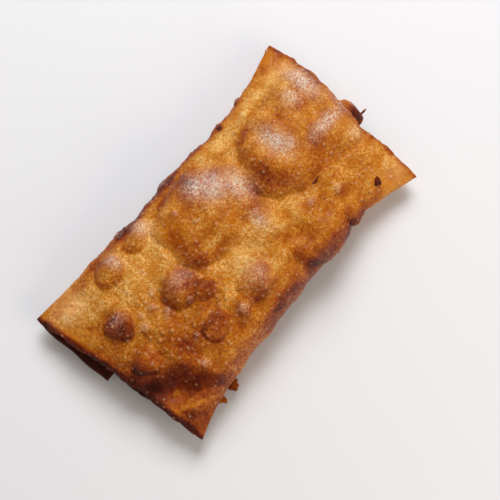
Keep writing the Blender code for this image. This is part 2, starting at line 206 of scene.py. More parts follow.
# Burnt shreds and the burst blister
END_SHRED = ((80, -7.4, 10), (84, -8.1, 10.4), (87, -7.6, 10.3), (90.5, -8.0, 9.9))
TOP_SHRED_STOPS = (43.8, 45.2, 46.8, 48.2)
TOP_SHRED_X, TOP_SHRED_Y = 46, -13
TOP_SHRED_CURVE, TOP_SHRED_LIFT = 0.12, 0.2
SHRED_RINGS, SHRED_SIDES = 28, 12
SHRED_TIP, SHRED_FLATNESS = 0.35, 0.7
SHRED_ROUGHNESS, SHRED_ROUGH_LENGTH = 0.1, 1.6
BURST_PLACE, BURST_SUNK = (65.4, -33.9), 0.3

# Soft areas of the crust: middle, reaches, strength and angle from X
Patch = namedtuple("Patch", "x y along across strength turn", defaults=(1, 0))
# Lighter or darker areas of the crust, as a change of the level that picks its colour: partly real frying,
# partly painted shade where slopes, rims, creases and walls face away from the window, and a few painted
# highlights on ridges
PATCHES = rows_of(
    Patch,
    (-66, 36, 26, 13, -0.09), (-44, 22, 26, 12, -0.08), (42, 34, 26, 5.5, -0.14, 2),
    # Painted shade on the left end, in a dent near its +Y corner and down the slope to its -Y corner, which
    # face away from the window, with painted highlights on the ridge beside that slope
    (76, -36, 13, 11, -0.1), (14, -10, 18, 9, -0.1), (-79, -8, 6, 16, 0.3), (-75, -22, 5, 7, 0.14),
    (-65, -24, 24, 6, 0.3, -48), (-52, -16, 22, 15, 0.27), (-68, -37, 15, 8, 0.26, -20),
    (-66, -36.5, 9, 1.1, -0.2, -28), (-51, -27, 4, 5, -0.1, -45), (-67, -5, 6, 6, 0.1),
    (-72, 8, 12, 12, 0.18), (-49, 0, 9, 7, 0.07), (-73, 25, 8, 3.5, 0.2, -45),
    # Painted shade on the rims of the large domes that face away from the window, and in the crease at the
    # top of the left dome
    (-15, 20, 7, 14, 0.07, -14), (33, 9, 5.5, 17, 0.06, 8), (42, 26.5, 13, 2.2, 0.2, 22),
    (52, -6, 24, 14, 0.06), (55, 0, 7, 6, 0.06), (42, -20, 20, 8, 0.1), (-3, 35, 11, 2.2, 0.18, 4),
    # Painted shade on the -Y side wall, which faces away from the window, and in the creases above it
    (7, 31.5, 6, 3, 0.16, -30), (20, -3, 9, 5, 0.1, 30), (-2, -39, 58, 5, 0.3),
    (-1, -35, 5, 1.6, 0.1), (18, -30, 12, 7, 0.1), (-20, -30, 16, 6, 0.12),
    (-5, 41.7, 62, 3.2, 0.41), (9, 27, 11, 8, 0.1), (24, -38, 26, 4, 0.08), (56, 16, 7, 9, 0.12),
    (40, 41, 24, 3, 0.16), (8, 36, 8, 3, 0.2, -20), (-78, -42, 8, 8, 0.16), (62, -27, 14, 4, 0.12),
    (38, 38, 1.6, 1.6, 0.5), (79, 41, 7, 6, -0.04),
)
BASE_DONENESS = 0.47
UNEVEN_FRYING, UNEVEN_LENGTH = 0.07, 22
# The cut edges are fried darkest, the left one more, which also paints the shade on the left end that faces
# away from the window; and the underside is a little darker than the top
LEFT_EDGE_BROWN_AND_SHADE, RIGHT_EDGE_BROWN = 0.42, 0.21
EDGE_REACH = 1.6
UNDERSIDE_BROWN, UNDERSIDE_FADE = 0.1, 8
# Nearness to a blister's middle over which its brown fades in, from a little outside its rim
BROWN_PAST_RIM, BROWN_FADE = 0.12, 0.5
# A large steep blister gets painted shade at its foot, on the side away from the window
RIM_PAINTED_SHADE = 0.12
STEEP_EDGE, LOW_RISE = 1.0, 2
FOOT_PLACE, FOOT_WIDTH = 0.2, 0.24
WINDOW_SIDE = (0.77, 0.64)
SHADED_BEFORE = 0.3

# Clear smooth skin, which has little crackle
SMOOTHNESS = 0.85
SMOOTH_PLACES = rows_of(
    Patch,
    (74, -42, 12, 9), (80, 42, 9, 8), (-75, -16, 9, 9), (-66, -25, 9, 8), (-59, -32, 7, 7),
    (-16, 20, 7, 9), (-80, 26, 5, 12), (-70, 38, 8, 7),
)
# Painted sheen: a pale milky colour laid where the window's highlights fall on the blisters, where the skin
# is also a little smoother
PAINTED_SHEEN_PLACES = rows_of(
    Patch,
    (8, 27, 5, 5, 0.9), (13, 22, 6, 7, 0.9), (21, 14, 5, 8, 0.7), (47.5, 13, 4, 8, 0.9),
    (51, 8, 3, 4, 0.6), (71, 1, 10, 3, 0.7), (79, 23, 4.5, 9, 0.85), (69, 21, 4, 4, 0.6),
    (15, -5, 3, 5, 0.5), (-29, 6, 6, 4, 0.22), (-61, 16, 4, 3, 0.22), (-4, -19, 6, 6, 0.28),
    (-42, 35, 3, 4, 0.6), (-71, 37, 8, 6, 0.35), (-22, 35, 3.5, 4, 0.6), (-30, -39, 26, 3, 0.12),
    (8, -39, 24, 3, 0.12), (88, 2, 5, 7), (76, -38, 6, 5, 0.2),
)
# Painted highlight on each small blister: its offset towards the window, size and strength
GLINT_ALONG, GLINT_ACROSS = 0.2, 0.3
GLINT_SIZE = 0.7
GLINT_STRENGTH = 0.28

# Chance of a pimple anywhere, and what each crowd of pimples adds
PIMPLES_ANYWHERE = 0.22
PIMPLE_CROWDS = rows_of(
    Patch,
    (34, 8, 12, 18, 0.6), (-4, 18, 20, 18, 0.6), (-30, 2, 14, 12, 0.6), (-50, 2, 18, 14, 0.6),
    (-45, -14, 26, 16, 0.6), (60, -20, 30, 14, 0.6),
)
BARE_PLACES = rows_of(
    Patch,
    (-75, -14, 9, 12), (-67, -24, 10, 8), (-59, -32, 8, 8), (-72, -42, 8, 8),
)
# Pimples start above the underside
PIMPLE_FLOOR, PIMPLE_FADE = 6, 5
# Smallest pimple as a share of the largest
SMALLEST_PIMPLE = 0.45

# Crackle of the crust, in shares of its grain size and levels of its noise
COARSE_GRAIN, COARSE_HEIGHT = 0.18, 0.5
THREAD_LEVEL, THREAD_FINENESS, THREAD_HEIGHT = 0.56, 9.0, 0.5
SPOT_SPREAD, LARGEST_SPOT, SPOT_HEIGHT = 0.4, 0.36, 0.9
BLOTCH_SCALE = 150.0
# Doneness at which each colour of the crust stands
CRUST_STOPS = (
    (0.08, "pale"), (0.3, "golden"), (0.5, "amber"), (0.68, "brown"), (0.85, "dark"), (1.0, "burnt"),
)
PLAIN_DONENESS = 0.5
# Threads are palest on pale dough and as brown as the rest at this level
PALEST_THREADS = 1.15
# The pimple and bead tips are paled partly as paler dough and partly as a painted highlight where the window
# catches them
PIMPLE_PALE_AND_GLINT, BEAD_PALE_AND_GLINT, SPOT_PALE = 0.7, 0.36, 0.52
# Share of the painted sheen that lies between the threads, and that the threads add
PAINTED_SHEEN_BETWEEN, PAINTED_SHEEN_ON_THREADS = 0.2, 0.95
CRUST_ROUGHNESS, ROUGHNESS_SPREAD = 0.31, 0.07
SPECULAR = 0.15

# Values from here on are in metres
FLOOR_SIZE = 6
FLOOR_DROP = 0.0002
FLOOR_ROUGHNESS = 0.6
# Lights: how far right, up the picture and above the floor they stand
WINDOW_PLACE = (0.0525, 1.0395, 1.05)
WINDOW_SIZE = 0.8
WINDOW_COLOUR = (0.97, 0.98, 1.0)
BOUNCE_PLACE = (0.56, -0.42, 0.35)
BOUNCE_SIZE = 0.5
BOUNCE_COLOUR = (1.0, 0.86, 0.7)
SKY_COLOUR = (1.0, 0.96, 0.92)
# What the photograph's frame shows: its width at the packet, and where its middle lies
FIELD_WIDTH = 0.2337
AIM_RIGHT = 0.0091
AIM_DOWN = 0.0029
AIM_HEIGHT = 0.010
PICTURE_TURN = math.radians(50.2)


def smoothstep(value):
    """Eased 0..1 ramp of a value that is 0 at the start and 1 at the end."""
    ramp = np.clip(value, 0.0, 1.0)
    return ramp * ramp * (3 - 2 * ramp)


def mixed(first, second, share):
    """The first value where share is 0 and the second where it is 1."""
    return first + (second - first) * share


def curve_through(points, where):
    """Smooth curve through a few (place, value) points, read at the given places."""
    places, values = np.array(points, float).T
    slopes = np.gradient(values, places)
    where = np.clip(np.asarray(where, float), places[0], places[-1])
    index = np.clip(np.searchsorted(places, where) - 1, 0, len(places) - 2)
    gap = places[index + 1] - places[index]
    t = (where - places[index]) / gap
    start = (1 + 2 * t) * (1 - t) ** 2 * values[index] + t * (1 - t) ** 2 * gap * slopes[index]
    end = t * t * (3 - 2 * t) * values[index + 1] + t * t * (t - 1) * gap * slopes[index + 1]
    return start + end


def ripple(points, length, seed, waves=14):
    """Smooth unevenness of about -1..1 with bumps of the given length."""
    draw = random.Random(seed)
    total = np.zeros(points.shape[:-1])
    for _ in range(waves):
        direction = np.array([draw.gauss(0, 1) for _ in range(3)])
        direction *= 2 * math.pi / (length * draw.uniform(0.8, 1.6)) / np.linalg.norm(direction)
        total += np.sin(points @ direction + draw.uniform(0, 2 * math.pi))
    return total / math.sqrt(waves)


class Packet:
    """Form of the outer sheet, in millimetres, from the sizes that the panel shows."""

    def __init__(self, sizes):
        for name in PacketSizes.__annotations__:
            setattr(self, name, getattr(sizes, name) / MILLIMETRE)

    def end_share(self, station):
        """0 along the plump part of the packet and 1 at its flat ends."""
        return smoothstep((np.abs(station) - PLUMP_HALF_LENGTH) / (self.half_length - PLUMP_HALF_LENGTH))

    def crown(self, station):
        """Height of the top along the middle line."""
        share = np.abs(station) / self.half_length
        return mixed(self.crown_height, self.lip_top_height, share**CROWN_FALL)

    def belly(self, station):
        """Height of the underside along the middle line."""
        resting = self.resting_half_length
        rise = np.clip((np.abs(station) - resting) / (self.half_length - resting), 0, 1)
        return self.lip_underside_height * rise**END_RISE

    def ear_height(self, station):
        return mixed(self.waist_ear_height, self.end_ear_height, self.end_share(station))

    def section_height(self, station, share, top):
        """Height of the section where share runs from 1 at the +Y ear to -1 at the -Y ear."""
        flat = self.end_share(station)
        away = np.abs(share)
        fold = share > 0
        if top:
            roundness = np.where(fold, FOLD_ROUNDNESS, BULGE_ROUNDNESS)
            edge = np.where(fold, FOLD_EDGE, BULGE_EDGE)
            far = self.crown(station)
        else:
            roundness, edge, far = BELLY_ROUNDNESS, BELLY_EDGE, self.belly(station)
        shape = (1 - away ** mixed(roundness, EAR_ROUNDNESS, flat)) ** mixed(edge, EAR_EDGE, flat)
        return mixed(self.ear_height(station), far, shape)

    def section(self, station, columns, top):
        """Evenly spaced (y, z) points of half a section, from one ear to the other."""
        turn = np.linspace(0, math.pi, SECTION_STEPS)
        share = np.cos(turn if top else turn[::-1])
        width = np.where(share > 0, half_width(station, 1), half_width(station, -1))
        y = share * width
        z = self.section_height(station, np.clip(share, -1, 1), top)
        travelled = np.concatenate([[0], np.cumsum(np.hypot(np.diff(y), np.diff(z)))])
        stops = np.linspace(0, travelled[-1], columns + 1)
        return np.stack([np.interp(stops, travelled, y), np.interp(stops, travelled, z)], axis=1)

    def grid(self, rows):
        """Points of the outer sheet before its relief: rows along X by columns round the section."""
        stations = self.half_length * np.sin(np.linspace(-1, 1, rows)) / math.sin(1)
        points = np.empty((rows, TOP_COLUMNS + UNDER_COLUMNS, 3))
        for row, station in enumerate(stations):
            over = self.section(station, TOP_COLUMNS, True)
            under = self.section(station, UNDER_COLUMNS, False)
            ring = np.concatenate([over[:-1], under[:-1]])
            end = math.copysign(1, station)
            pull = (abs(station) / self.half_length) ** EDGE_PULL
            ragged = RAGGED_EDGE * ripple(np.insert(ring, 0, 0.0, axis=1), RAGGED_LENGTH, seed=13 + (end > 0))
            off_edge = edge_place(end, ring[:, 0]) + ragged - end * self.half_length
            points[row, :, 0] = station + off_edge * pull
            points[row, :, 1:] = ring
        return points

    def base_height(self, x, y):
        """Height of the top of the sheet at one place, before its relief."""
        station = float(np.clip(x, -self.half_length, self.half_length))
        share = float(np.clip(y / half_width(station, y), -NEAR_EAR, NEAR_EAR))
        return float(self.section_height(station, np.array(share), True))

    def nearness(self, points, blister):
        """1 at the middle of a blister, 0 at its rim and below 0 outside it."""
        along, across = shares(points, blister)
        reach = min(blister.along, max(blister.across, LEAST_REACH)) * REACH_DOWN
        down = (points[..., 2] - self.base_height(blister.x, blister.y)) / reach
        return 1 - along**2 - across**2 - down**2

    def dome(self, points, blister):
        """Height of one blister above the sheet."""
        return blister.rise * np.clip(self.nearness(points, blister), 0, 1) ** blister.edge

    def ear_fade(self, points):
        """1 over the packet and 0 at the thin ears, where relief would push the sheet through itself."""
        station = np.clip(points[..., 0], -self.half_length, self.half_length)
        width = np.where(points[..., 1] > 0, half_width(station, 1), half_width(station, -1))
        near_side = 1 - smoothstep((width - np.abs(points[..., 1])) / EAR_REACH)
        return 1 - near_side * self.end_share(station)

    def large_relief(self, points):
        """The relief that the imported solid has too."""
        warped = warp(points)
        height = sum(self.dome(warped, blister) ** BLEND for blister in LARGE_BLISTERS) ** (1 / BLEND)
        for hollow in HOLLOWS:
            height -= self.dome(points, hollow)
        return self.ear_fade(points) * (height + self.crumple * ripple(points, CRUMPLE_LENGTH, seed=8))

    def underside_relief(self, points):
        """Underneath, the groove beside the sheet's free edge, and the sag that presses it flat."""
        under = smoothstep((self.waist_ear_height - UNDER_FROM - points[..., 2]) / UNDER_FADE)
        past = points[..., 1] - SEAM_Y - SEAM_WAVER * np.sin(points[..., 0] / SEAM_WAVE_LENGTH)
        groove = smoothstep(past / SEAM_STEP + 1) * smoothstep(1 - past / SEAM_FADE)
        return under * (PRESSED_FLAT - SEAM_GROOVE * groove)

    def fine_relief(self, points):
        """Small blisters, the creases round the steepest large ones, and the crinkles between them."""
        height = np.zeros(points.shape[:-1])
        for blister in SMALL_BLISTERS:
            height = np.maximum(height, self.dome(points, blister))
        warped = warp(points)
        for blister in LARGE_BLISTERS:
            if blister.edge < CREASED_EDGE:
                rim = self.nearness(warped, blister)
                height -= CREASE_DEPTH * np.sqrt(blister.rise) * np.exp(-((rim / CREASE_WIDTH) ** 2))
        height += HAMMERED * ripple(points, HAMMERED_LENGTH, HAMMERED_SEED)
        height += CRINKLE * ripple(points, CRINKLE_LENGTH, seed=12)
        return height * mixed(RELIEF_AT_EARS, 1, self.ear_fade(points))

    def raised(self, points):
        """The sheet with all its relief, cut flat where it lies on the floor."""
        height = self.large_relief(points) + self.underside_relief(points) + self.fine_relief(points)
        lifted = points + outward(points) * height[..., None]
        lifted[..., 2] = np.maximum(lifted[..., 2], 0)
        return lifted

    def top_at(self, x, y):
        """Height of the blistered top at one place."""
        place = np.array((x, y, self.base_height(x, y)))
        return place[2] + float(self.large_relief(place[None])[0] + self.fine_relief(place[None])[0])

    def inner_ring(self, ring):
        """The sheet's inner contour at an end: thinner by the sheet, and shut well inside the ears."""
        inner = ring.copy()
        inner[:, 1] *= POCKET_WIDTH
        top, bottom = ring_heights(ring, inner[:, 1])
        half_gap = np.maximum((top - bottom) / 2 - self.sheet_thickness, LEAST_HALF_GAP)
        is_top = np.arange(len(ring)) < TOP_COLUMNS
        inner[:, 2] = (top + bottom) / 2 + np.where(is_top, half_gap, -half_gap)
        for tip in (0, TOP_COLUMNS):
            inner[tip, 2] = (top[tip] + bottom[tip]) / 2
        return inner

    def end_rings(self, ring, end):
        """Rings that round the cut edge and go back inside the packet, from outside to inside."""
        inner = self.inner_ring(ring)
        lips = []
        for turn in np.radians((30, 60, 90, 120, 150)):
            lip = mixed(ring, inner, (1 - math.cos(turn)) / 2)
            lip[:, 0] = ring[:, 0] + end * self.sheet_thickness * LIP_ROUNDING * math.sin(turn)
            lips.append(lip)
        inside = end * np.minimum(end * edge_place(end, inner[:, 1]), end * ring[:, 0])
        steps = []
        for depth in (0.0, POCKET_DEPTH / 4, POCKET_DEPTH):
            step = inner.copy()
            step[:, 0] = inside - end * depth
            steps.append(step)
        return lips + steps


def half_width(station, side):
    """Half width of the packet at a station, on the side towards +Y or -Y."""
    return curve_through(FOLD_SIDE if side > 0 else BULGING_SIDE, station)


def edge_place(end, y):
    """Place along X of the outer sheet's cut edge, at the end on the given side of the middle."""
    return curve_through(RIGHT_EDGE if end > 0 else LEFT_EDGE, y)


def ring_heights(ring, y):
    """Heights of the upper and the lower half of a ring round the sheet, at the given places across."""
    upper = ring[: TOP_COLUMNS + 1]
    lower = np.concatenate([ring[TOP_COLUMNS:], ring[:1]])[::-1]
    return [np.interp(-y, -half[:, 1], half[:, 2]) for half in (upper, lower)]


def warp(points):
    """Places shifted a little, so that round blisters get uneven rims."""
    wander = np.stack([ripple(points, RIM_WANDER_LENGTH, seed) for seed in (3, 4, 5)], axis=-1)
    return points + wander * RIM_WANDER


def outward(grid):
    """Unit directions out of the sheet at every point of the grid."""
    along = np.gradient(grid, axis=0)
    around = np.roll(grid, -1, axis=1) - np.roll(grid, 1, axis=1)
    normals = np.cross(around, along)
    return normals / np.linalg.norm(normals, axis=2, keepdims=True)


def shares(points, place):
    """How far the points lie from a blister's or patch's middle, as shares of its two reaches."""
    turn = math.radians(place.turn)
    away = points[..., :2] - (place.x, place.y)
    along = away[..., 0] * math.cos(turn) + away[..., 1] * math.sin(turn)
    across = away[..., 1] * math.cos(turn) - away[..., 0] * math.sin(turn)
    return along / place.along, across / place.across


def softly(points, patch):
    """A patch's strength, which fades from its middle outwards."""
    along, across = shares(points, patch)
    return patch.strength * np.exp(-(along**2) - across**2)


def strongest(points, patches):
    """The greatest strength that any of the patches has at each point."""
    return np.max([softly(points, patch) for patch in patches], axis=0)


def blister_brown_and_shade(near, points, blister):
    """How much browner a blister is on top, and the painted shade at its foot on the side away from the
    window.
    """
    brown = blister.brown * smoothstep((near + BROWN_PAST_RIM) / BROWN_FADE)
    if blister.edge <= STEEP_EDGE and blister.rise > LOW_RISE:
        along, across = shares(points, blister)
        towards_window = WINDOW_SIDE[0] * along + WINDOW_SIDE[1] * across
        foot = np.exp(-(((near - FOOT_PLACE) / FOOT_WIDTH) ** 2))
        # Painted shade at the foot, on the side away from the window
        brown += RIM_PAINTED_SHADE * foot * np.clip(SHADED_BEFORE - towards_window, 0, 1)
    return brown


def doneness(packet, points):
    """How far the dough is fried, with painted shade and a few painted highlights laid in, from 0 for pale to
    1 for burnt, before the material's noise.
    """
    level = BASE_DONENESS + sum(softly(points, patch) for patch in PATCHES)
    warped = warp(points)
    most = np.zeros(level.shape)
    for blister in LARGE_BLISTERS + SMALL_BLISTERS:
        near = packet.nearness(warped if blister in LARGE_BLISTERS else points, blister)
        brown = blister_brown_and_shade(near, points, blister)
        most = np.where(np.abs(brown) > np.abs(most), brown, most)
    level += most + UNEVEN_FRYING * ripple(points, UNEVEN_LENGTH, seed=31)
    # Painted light and shade: the tops of the uneven bumps paler, the hollows between them darker
    level -= HAMMERED_PAINTED_SHADING * ripple(points, HAMMERED_LENGTH, HAMMERED_SEED)
    for end, brown in ((-1, LEFT_EDGE_BROWN_AND_SHADE), (1, RIGHT_EDGE_BROWN)):
        inside = np.maximum(end * (edge_place(end, points[..., 1]) - points[..., 0]), 0)
        level += brown * np.exp(-((inside / EDGE_REACH) ** 2))
    under = smoothstep((packet.waist_ear_height - points[..., 2]) / UNDERSIDE_FADE)
    return np.clip(level + UNDERSIDE_BROWN * under, 0, 1)


def smooth_skin(points):
    """High where the fried skin is clear and smooth, as on the ears, and 0 where it is grainy."""
    return SMOOTHNESS * strongest(points, SMOOTH_PLACES)


def oily_skin(points):
    """High where the painted sheen goes, with a smoother skin: on the slopes of blisters that face the
    window, where its highlights fall.
    """
    glints = tuple(
        Patch(
            blister.x + GLINT_ALONG * blister.along,
            blister.y + GLINT_ACROSS * blister.across,
            GLINT_SIZE * blister.along,
            GLINT_SIZE * blister.across,
            GLINT_STRENGTH,
        )
        for blister in SMALL_BLISTERS
    )
    return strongest(points, PAINTED_SHEEN_PLACES + glints)


def pimple_chance(points):
    """Where pimples stand close together: on the domes and towards the darker end."""
    level = PIMPLES_ANYWHERE + sum(softly(points, crowd) for crowd in PIMPLE_CROWDS)
    above = smoothstep((points[..., 2] - PIMPLE_FLOOR) / PIMPLE_FADE)
    return np.clip(level, 0, 1) * above * (1 - strongest(points, BARE_PLACES))


def mesh_object(name, points, faces, smooth=True):
    """Object with a closed mesh whose faces look outward, from points in millimetres."""
    mesh = bpy.data.meshes.new(name)
    origin = np.array((MIDDLE_X, MIDDLE_Y, 0))
    mesh.from_pydata(((np.asarray(points) - origin) * MILLIMETRE).tolist(), [], faces)
    turn_outward(mesh)
    mesh.polygons.foreach_set("use_smooth", [smooth] * len(mesh.polygons))
    obj = bpy.data.objects.new(name, mesh)
    bpy.context.scene.collection.objects.link(obj)
    return obj


def turn_outward(mesh):
    shape = bmesh.new()
    shape.from_mesh(mesh)
    bmesh.ops.recalc_face_normals(shape, faces=shape.faces)
    shape.to_mesh(mesh)
    shape.free()


def ring_faces(count, rings):
    """Quads between neighbouring closed rings of points."""
    faces = []
    for ring in range(rings - 1):
        for at in range(count):
            beside = (at + 1) % count
            low, high = ring * count, (ring + 1) * count
            faces.append((low + at, low + beside, high + beside, high + at))
    return faces


def closed_rings(name, rings):
    """Closed body through rings of points, with a face over each end."""
    count = len(rings[0])
    faces = ring_faces(count, len(rings))
    faces.append(tuple(range(count))[::-1])
    faces.append(tuple(range((len(rings) - 1) * count, len(rings) * count)))
    return mesh_object(name, np.concatenate(rings), faces)


def add_attribute(obj, name, values):
    """Stores one value a point on the mesh, for the material and the node trees."""
    layer = obj.data.attributes.new(name, "FLOAT", "POINT")
    layer.data.foreach_set("value", np.asarray(values, np.float32).ravel())


def mesh_points(obj):
    """The mesh's points in millimetres, in the places that the form functions use."""
    flat = np.empty(len(obj.data.vertices) * 3, np.float32)
    obj.data.vertices.foreach_get("co", flat)
    return flat.reshape(-1, 3).astype(float) / MILLIMETRE + (MIDDLE_X, MIDDLE_Y, 0)


def place_piece(obj, material):
    """Gives the piece its material and tells the frame what it stands for."""
    obj.data.materials.clear()
    obj.data.materials.append(material)
    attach(obj, "root")
    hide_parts(NODE)


class NodeBuilder:
    """Adds nodes to a tree and joins them in one call each."""

    def __init__(self, tree):
        self.tree = tree

    def add(self, kind, inputs=None, **settings):
        node = self.tree.nodes.new(kind)
        for name, value in settings.items():
            setattr(node, name, value)
        for name, value in (inputs or {}).items():
            socket = node.inputs[name]
            if isinstance(value, bpy.types.NodeSocket):
                self.tree.links.new(value, socket)
            else:
                socket.default_value = value
        return node

    def math(self, operation, first, second=0.0, clamp=False):
        node = self.add("ShaderNodeMath", {0: first, 1: second}, operation=operation, use_clamp=clamp)
        return node.outputs[0]

    def plus(self, first, second, clamp=False):
        return self.math("ADD", first, second, clamp)

    def minus(self, first, second, clamp=False):
        return self.math("SUBTRACT", first, second, clamp)

    def times(self, first, second):
        return self.math("MULTIPLY", first, second)

    def ramp(self, value, start, end, low, high):
        """Goes from low to high while the value goes from start to end."""
        node = self.add("ShaderNodeMapRange", {0: value, 1: start, 2: end, 3: low, 4: high}, clamp=True)
        return node.outputs[0]

    def noise(self, vector, scale, detail, roughness, distortion):
        inputs = {"Vector": vector, "Scale": scale, "Detail": detail}
        inputs |= {"Roughness": roughness, "Distortion": distortion}
        return self.add("ShaderNodeTexNoise", inputs).outputs[0]

    def attribute(self, name):
        return self.add("ShaderNodeAttribute", attribute_name=name).outputs["Fac"]


def tree_sockets(tree, way, sockets):
    """Adds inputs or outputs to a tree, from rows of name, kind and default."""
    for name, kind, default in sockets:
        socket = tree.interface.new_socket(name, in_out=way, socket_type="NodeSocket" + kind)
        if kind == "Float":
            socket.min_value = 0.0
        if default is not None:
            socket.default_value = default


def pimple_tree():
    """Geometry Nodes: raises small round pimples at scattered places and marks them."""
    tree = bpy.data.node_groups.new("raise_pimples", "GeometryNodeTree")
    tree.is_modifier = True
    sockets = (
        ("Geometry", "Geometry", None),
        ("Spacing", "Float", 0.003),
        ("Radius", "Float", 0.001),
        ("Height", "Float", 0.0005),
        ("Seed", "Int", 1),
        ("Mark", "String", "pimple"),
        ("Material", "Material", None),
    )
    tree_sockets(tree, "INPUT", sockets)
    tree_sockets(tree, "OUTPUT", [("Geometry", "Geometry", None)])
    build = NodeBuilder(tree)
    start = build.add("NodeGroupInput").outputs
    chance = build.add("GeometryNodeInputNamedAttribute", {"Name": "pimple_chance"}, data_type="FLOAT")
    points = build.add(
        "GeometryNodeDistributePointsOnFaces",
        {
            "Mesh": start["Geometry"],
            "Distance Min": start["Spacing"],
            "Density Max": build.math("DIVIDE", 1.0, build.times(start["Spacing"], start["Spacing"])),
            "Density Factor": chance.outputs["Attribute"],
            "Seed": start["Seed"],
        },
        distribute_method="POISSON",
    ).outputs["Points"]
    nearest = build.add("GeometryNodeSampleNearest", {"Geometry": points}, domain="POINT").outputs[0]
    draw = {2: SMALLEST_PIMPLE, 3: 1.0, "Seed": start["Seed"]}
    size = build.add("FunctionNodeRandomValue", draw, data_type="FLOAT").outputs[1]
    here = build.add("GeometryNodeInputPosition").outputs[0]
    sampled = []
    for value, kind in ((size, "FLOAT"), (here, "FLOAT_VECTOR")):
        inputs = {"Geometry": points, "Value": value, "Index": nearest}
        sampled.append(build.add("GeometryNodeSampleIndex", inputs, data_type=kind).outputs[0])
    size_here, place = sampled
    away = build.add("ShaderNodeVectorMath", {0: here, 1: place}, operation="DISTANCE").outputs["Value"]
    share = build.math("DIVIDE", away, build.times(start["Radius"], size_here))
    fall = build.minus(1.0, build.times(share, share), clamp=True)
    lift = build.times(build.times(fall, size_here), start["Height"])
    normal = build.add("GeometryNodeInputNormal").outputs[0]
    offset = build.add("ShaderNodeVectorMath", {0: normal, "Scale": lift}, operation="SCALE").outputs[0]
    moved = build.add("GeometryNodeSetPosition", {"Geometry": start["Geometry"], "Offset": offset}).outputs[0]
    marked = build.add(
        "GeometryNodeStoreNamedAttribute",
        {"Geometry": moved, "Name": start["Mark"], "Value": fall},
        data_type="FLOAT",
        domain="POINT",
    ).outputs[0]
    real = build.add("GeometryNodeRealizeInstances", {"Geometry": marked}).outputs[0]
    dressed = build.add("GeometryNodeSetMaterial", {"Geometry": real, "Material": start["Material"]})
    build.add("NodeGroupOutput", {"Geometry": dressed.outputs[0]})
    return tree


def set_inputs(modifier, values):
    """Sets a node modifier's inputs by their sockets' identifiers."""
    for item in modifier.node_group.interface.items_tree:
        if item.in_out == "INPUT" and item.name in values:
            modifier[item.identifier] = values[item.name]


def apply_modifiers(obj):
    """Turns the evaluated object into its plain mesh."""
    bpy.context.view_layer.update()
    evaluated = obj.evaluated_get(bpy.context.evaluated_depsgraph_get())
    mesh = bpy.data.meshes.new_from_object(evaluated)
    obj.modifiers.clear()
    obj.data = mesh
    mesh.name = obj.name


def grain_group():
    """Shader group: the fine crackle of fried dough, as shades, pale marks and a height."""
    tree = bpy.data.node_groups.get("dough_grain")
    if tree:
        return tree
    tree = bpy.data.node_groups.new("dough_grain", "ShaderNodeTree")
    inputs = (("Vector", "Vector", None), ("Grain Size", "Float", 0.001), ("Smoothness", "Float", 0.0))
    tree_sockets(tree, "INPUT", inputs)
    tree_sockets(tree, "OUTPUT", [(name, "Float", None) for name in ("Shade", "Height", "Spots", "Threads")])
    build = NodeBuilder(tree)
    start = build.add("NodeGroupInput").outputs
    scale = build.math("DIVIDE", 1.0, start["Grain Size"])
    fine = build.noise(start["Vector"], scale, 2.0, 0.55, 0.6)
    coarse = build.noise(start["Vector"], build.times(scale, COARSE_GRAIN), 3.0, 0.6, 0.4)
    # Pale worm-like threads where the fine noise passes the level of the threads
    off_level = build.math("ABSOLUTE", build.minus(fine, THREAD_LEVEL))
    thread = build.minus(1.0, build.times(off_level, THREAD_FINENESS), clamp=True)
    dots = build.add(
        "ShaderNodeTexVoronoi",
        {"Vector": start["Vector"], "Scale": build.times(scale, SPOT_SPREAD), "Randomness": 1.0},
        feature="F1",
    )
    chosen = build.add("ShaderNodeSeparateColor", {"Color": dots.outputs["Color"]}).outputs[0]
    reach = build.plus(build.ramp(chosen, 0.45, 1.0, 0.0, LARGEST_SPOT), 0.001)
    spot = build.minus(1.0, build.math("DIVIDE", dots.outputs["Distance"], reach), clamp=True)
    rough = build.minus(1.0, start["Smoothness"], clamp=True)
    threads = build.times(thread, rough)
    spots = build.times(spot, rough)
    shade = build.minus(coarse, build.times(build.minus(fine, 0.5), build.times(rough, 0.5)))
    height = build.plus(build.times(coarse, COARSE_HEIGHT), build.times(threads, THREAD_HEIGHT))
    height = build.plus(height, build.times(spots, SPOT_HEIGHT))
    build.add("NodeGroupOutput", {"Shade": shade, "Height": height, "Spots": spots, "Threads": threads})
    return tree


def ramp_node(build, value, stops):
    """Colour ramp with the given (place, colour) stops."""
    node = build.add("ShaderNodeValToRGB", {"Fac": value})
    elements = node.color_ramp.elements
    while len(elements) > 1:
        elements.remove(elements[-1])
    for index, (place, colour) in enumerate(stops):
        element = elements[0] if index == 0 else elements.new(place)
        element.position = place
        element.color = (*colour, 1)
    return node.outputs["Color"]


def mix_colour(build, factor, colour, other):
    """Colour that goes from one to the other fixed one as the factor rises."""
    mix = build.add("ShaderNodeMix", {"Factor": factor}, data_type="RGBA")
    build.tree.links.new(colour, mix.inputs["A"])
    mix.inputs["B"].default_value = (*other[:3], 1)
    return mix.outputs["Result"]


